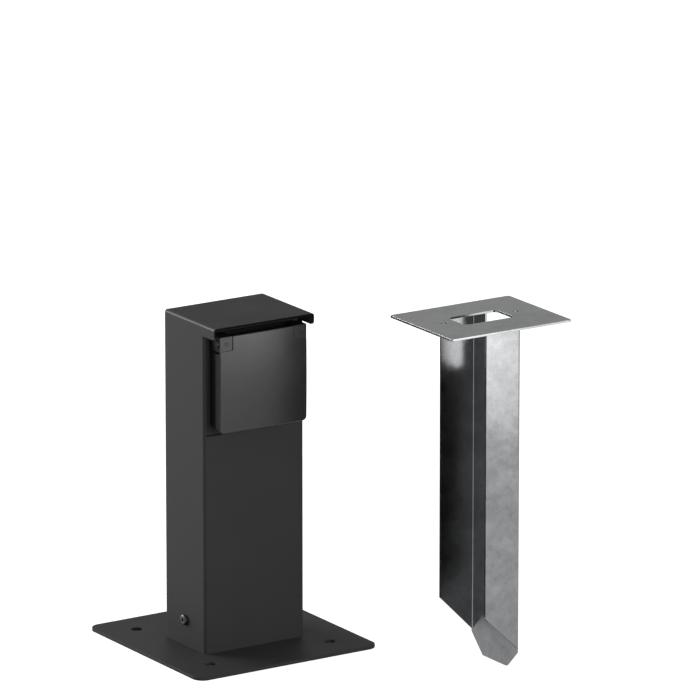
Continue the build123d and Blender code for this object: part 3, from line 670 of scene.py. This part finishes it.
@dataclass
class SpikeChannel:
    """The spike's open channel, with the slot for the cable in the top of its web.

    Attributes:
        slot_width_mm: Width of the slot.
        slot_depth_mm: Depth of the slot below the spike's plate.
        slot_radius_mm: Radius of the slot's lower corners.
        corner_steps: Faces round each corner.
        edge_mm: Width of the broken edges.
    """

    slot_width_mm: float = 32.0
    slot_depth_mm: float = 58.0
    slot_radius_mm: float = 11.0
    corner_steps: int = 10
    edge_mm: float = SHEET_EDGE

    def build(self) -> None:
        """Cuts the slot, breaks the edges and dresses the channel."""
        shape = cut_out(copy_of_node("spike_channel"), self._slot())
        break_edges(shape, self.edge_mm)
        add_piece(shape, "spike_channel_finished", "root", HOT_DIP_ZINC, "spike_channel")

    def _slot(self) -> bmesh.types.BMesh:
        """The space of the slot: a U that starts above the channel and runs through its web.

        Returns:
            The space as a closed mesh.
        """
        low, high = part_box("spike_channel")
        middle_y = (low.y + high.y) / 2
        half_width = self.slot_width_mm * MM / 2
        radius = self.slot_radius_mm * MM
        bottom_z = high.z - self.slot_depth_mm * MM
        start_x = (low.x + high.x) / 2
        overrun = high.x - start_x
        outline = [(half_width, high.z + overrun), (-half_width, high.z + overrun)]
        for side, first in ((-1, 0.0), (1, 90.0)):
            for step in range(self.corner_steps + 1):
                turn = radians(first + 90.0 * step / self.corner_steps)
                outline.append((side * (half_width - radius) - radius * cos(turn),
                                bottom_z + radius - radius * sin(turn)))
        space = bmesh.new()
        ring = [space.verts.new((start_x, middle_y + y, z)) for y, z in outline]
        face = space.faces.new(ring)
        grown = bmesh.ops.extrude_face_region(space, geom=[face])["geom"]
        moved = [item for item in grown if isinstance(item, bmesh.types.BMVert)]
        bmesh.ops.translate(space, verts=moved, vec=Axis.X.value * 2 * overrun)
        bmesh.ops.recalc_face_normals(space, faces=space.faces)
        return space


@dataclass(frozen=True)
class Softbox:
    """A soft lamp with a flat, rectangular face.

    Attributes:
        name: The lamp's name.
        place: Where it hangs, in metres.
        width: Width of its face, in metres.
        height: Height of its face, in metres.
        power: Power in watts.
    """

    name: str
    place: tuple[float, float, float]
    width: float
    height: float
    power: float

    def hang(self, aim: tuple[float, float, float]) -> None:
        """Hangs the lamp.

        Args:
            aim: The point that it shines at, in metres.
        """
        light = bpy.data.lights.new(self.name, "AREA")
        light.shape = "RECTANGLE"
        light.size = self.width
        light.size_y = self.height
        light.energy = self.power
        lamp = bpy.data.objects.new(self.name, light)
        lamp.location = self.place
        away = Vector(self.place) - Vector(aim)
        lamp.rotation_euler = away.to_track_quat("Z", "Y").to_euler()
        bpy.context.scene.collection.objects.link(lamp)


@dataclass
class Stage:
    """The plain studio: a pale floor, a white surround, and soft lamps.

    Attributes:
        floor_size: Side of the floor, in metres.
        floor_colour: The floor's colour.
        floor_lift: Share of white that the floor shows besides the light that falls on it.
        surround_level: How strongly the surround lights the object.
        plate_margin_mm: How far inside the base plate's edge the floor's painted shade begins.
        aim: The point that all lamps shine at, in metres.
        lamps: Two large lamps, behind on the left and in front, and two small, faint ones low
            down in front on the right.
    """

    floor_size: float = 12.0
    floor_colour: str = "BEBEBE"
    floor_lift: float = 0.86
    surround_level: float = 0.3
    plate_margin_mm: float = 4.0
    aim: tuple[float, float, float] = (0.05, -0.06, 0.16)
    lamps: tuple[Softbox, ...] = (
        Softbox("left_softbox", (-1.15, 1.95, 0.65), width=1.6, height=1.1, power=92.0),
        Softbox("front_softbox", (0.2, -2.4, 0.65), width=1.8, height=1.1, power=34.0),
        Softbox("low_right_softbox", (0.46, -0.6, 0.185), width=0.4, height=0.2, power=0.4),
        Softbox("low_front_softbox", (0.34, -0.71, 0.2), width=0.2, height=0.2, power=0.38),
    )

    def build(self) -> None:
        """Builds the floor, the surround and the lamps."""
        self._floor()
        self._surround()
        for lamp in self.lamps:
            lamp.hang(self.aim)

    def _floor(self) -> None:
        """A large flat floor that looks white and keeps the object's shadow."""
        shape = bmesh.new()
        bmesh.ops.create_grid(shape, x_segments=1, y_segments=1, size=self.floor_size / 2)
        mesh = bpy.data.meshes.new("floor")
        shape.to_mesh(mesh)
        shape.free()
        material = bpy.data.materials.new("matt_white_floor")
        material.use_nodes = True
        tree = material.node_tree
        tree.nodes.clear()
        matt = add_node(tree, "ShaderNodeBsdfDiffuse", {"Color": srgb(self.floor_colour)})
        lift = add_node(tree, "ShaderNodeEmission",
                        {"Color": srgb("FFFFFF"), "Strength": self.floor_lift})
        black = add_node(tree, "ShaderNodeEmission", {"Strength": 0.0})
        # Painted shade: under the base plate the floor loses its white lift.
        open_floor = add_node(tree, "ShaderNodeMath",
                              {0: background_rays(tree), 1: self._painted_shade_under_plate(tree)},
                              operation="SUBTRACT", use_clamp=True)
        seen = add_node(tree, "ShaderNodeMixShader", {0: open_floor.outputs[0],
                                                      1: black.outputs[0], 2: lift.outputs[0]})
        both = add_node(tree, "ShaderNodeAddShader", {0: matt.outputs[0], 1: seen.outputs[0]})
        add_node(tree, "ShaderNodeOutputMaterial", {"Surface": both.outputs[0]})
        mesh.materials.append(material)
        floor = bpy.data.objects.new("floor", mesh)
        bpy.context.scene.collection.objects.link(floor)

    def _painted_shade_under_plate(self, tree: bpy.types.NodeTree) -> bpy.types.NodeSocket:
        """One where the base plate covers the floor, else zero. There the floor's white lift is
        left out, as painted shade that makes the plate's holes look dark.

        Args:
            tree: The node tree that takes the nodes.

        Returns:
            The share, 0 or 1.
        """
        low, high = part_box("base_plate")
        place = add_node(tree, "ShaderNodeSeparateXYZ",
                         {0: add_node(tree, "ShaderNodeTexCoord").outputs["Object"]})
        inside = []
        for along, half in ((0, (high.x - low.x) / 2), (1, (high.y - low.y) / 2)):
            reach = add_node(tree, "ShaderNodeMath", {0: place.outputs[along]},
                             operation="ABSOLUTE")
            inside.append(add_node(tree, "ShaderNodeMath",
                                   {0: reach.outputs[0], 1: half - self.plate_margin_mm * MM},
                                   operation="LESS_THAN").outputs[0])
        both = add_node(tree, "ShaderNodeMath", {0: inside[0], 1: inside[1]},
                        operation="MULTIPLY")
        return both.outputs[0]

    def _surround(self) -> None:
        """A world that looks white and lights the object at a plain level."""
        world = bpy.data.worlds.new("white_surround")
        bpy.context.scene.world = world
        world.use_nodes = True
        tree = world.node_tree
        tree.nodes.clear()
        level = add_node(tree, "ShaderNodeMapRange",
                         {"Value": background_rays(tree), "To Min": self.surround_level,
                          "To Max": 1.0})
        light = add_node(tree, "ShaderNodeBackground",
                         {"Color": srgb("FFFFFF"), "Strength": level.outputs["Result"]})
        add_node(tree, "ShaderNodeOutputWorld", {"Surface": light.outputs[0]})


@dataclass
class Viewpoint:
    """The camera at the photograph's viewing angle.

    Attributes:
        azimuth_deg: Turn about the vertical, from straight in front.
        elevation_deg: Height above the horizon.
        distance: Distance from the target, in metres.
        target: The point in the middle of the frame, in metres.
        lens_mm: Focal length, in millimetres.
        sensor_mm: Width of the sensor, in millimetres.
        far_limit: How far the camera sees, in metres.
    """

    azimuth_deg: float = -32.81
    elevation_deg: float = 15.14
    distance: float = 7.0687
    target: tuple[float, float, float] = (0.1200, 0.0004, 0.2393)
    lens_mm: float = 422.6
    sensor_mm: float = 36.0
    far_limit: float = 100.0

    def build(self) -> None:
        """Sets the camera up."""
        turn, rise = radians(self.azimuth_deg), radians(self.elevation_deg)
        back = Vector((sin(turn) * cos(rise), -cos(turn) * cos(rise), sin(rise)))
        lens = bpy.data.cameras.new("photo_view")
        lens.sensor_width = self.sensor_mm
        lens.lens = self.lens_mm
        lens.clip_end = self.far_limit
        camera = bpy.data.objects.new("photo_view", lens)
        camera.location = Vector(self.target) + back * self.distance
        camera.rotation_euler = back.to_track_quat("Z", "Y").to_euler()
        bpy.context.scene.collection.objects.link(camera)
        bpy.context.scene.camera = camera


def main() -> None:
    """Builds the pieces, the stage and the camera, in that order."""
    logging.basicConfig(level=logging.INFO, format="%(message)s")
    bpy.context.scene.view_settings.view_transform = "Standard"
    NodeGroup("root", SHEET_EDGE, {
        "base_plate": POWDER_COAT,
        "foot_bracket": POWDER_COAT,
        "socket_carrier": POWDER_COAT,
        "spike_plate": HOT_DIP_ZINC,
        "support_ring": ZINC_PLATE,
        "contact_base": PRESSED_THERMOSET,
    }).build()
    NodeGroup("root", MOULDED_EDGE, {
        "cable_edging": BLACK_RUBBER,
        "frame_gasket": BLACK_RUBBER,
        "socket_face": MOULDED_BLACK,
        "plug_well": MOULDED_BLACK,
        "weld_nuts": ZINC_PLATE,
        "side_screws": BLACKENED_STEEL,
        "earth_stud": ZINC_PLATE,
        "earth_washers": ZINC_PLATE,
        "earth_nuts": STAMPED_BRASS,
        "ring_screws": ZINC_PLATE,
        "terminal_screws": ZINC_PLATE,
        "centre_screw": ZINC_PLATE,
        "hinge_pins": SPRING_STEEL,
    }).build()
    NodeGroup("root", STRIP_EDGE, {
        "earth_clip": NICKELLED_BRONZE,
        "line_contact": STAMPED_BRASS,
        "neutral_contact": STAMPED_BRASS,
        "earth_terminal": STAMPED_BRASS,
    }).build()
    NodeGroup("lid", MOULDED_EDGE, {"lid_seal": BLACK_RUBBER}).build()
    NodeGroup("shutter", SHUTTER_EDGE, {"shutter": MOULDED_BLACK}).build()
    PostShell().build()
    SocketFrame().build()
    Lid().build()
    LidSprings().build()
    ShutterSpring().build()
    SpikeChannel().build()
    Stage().build()
    Viewpoint().build()


if __name__ == "__main__":
    main()
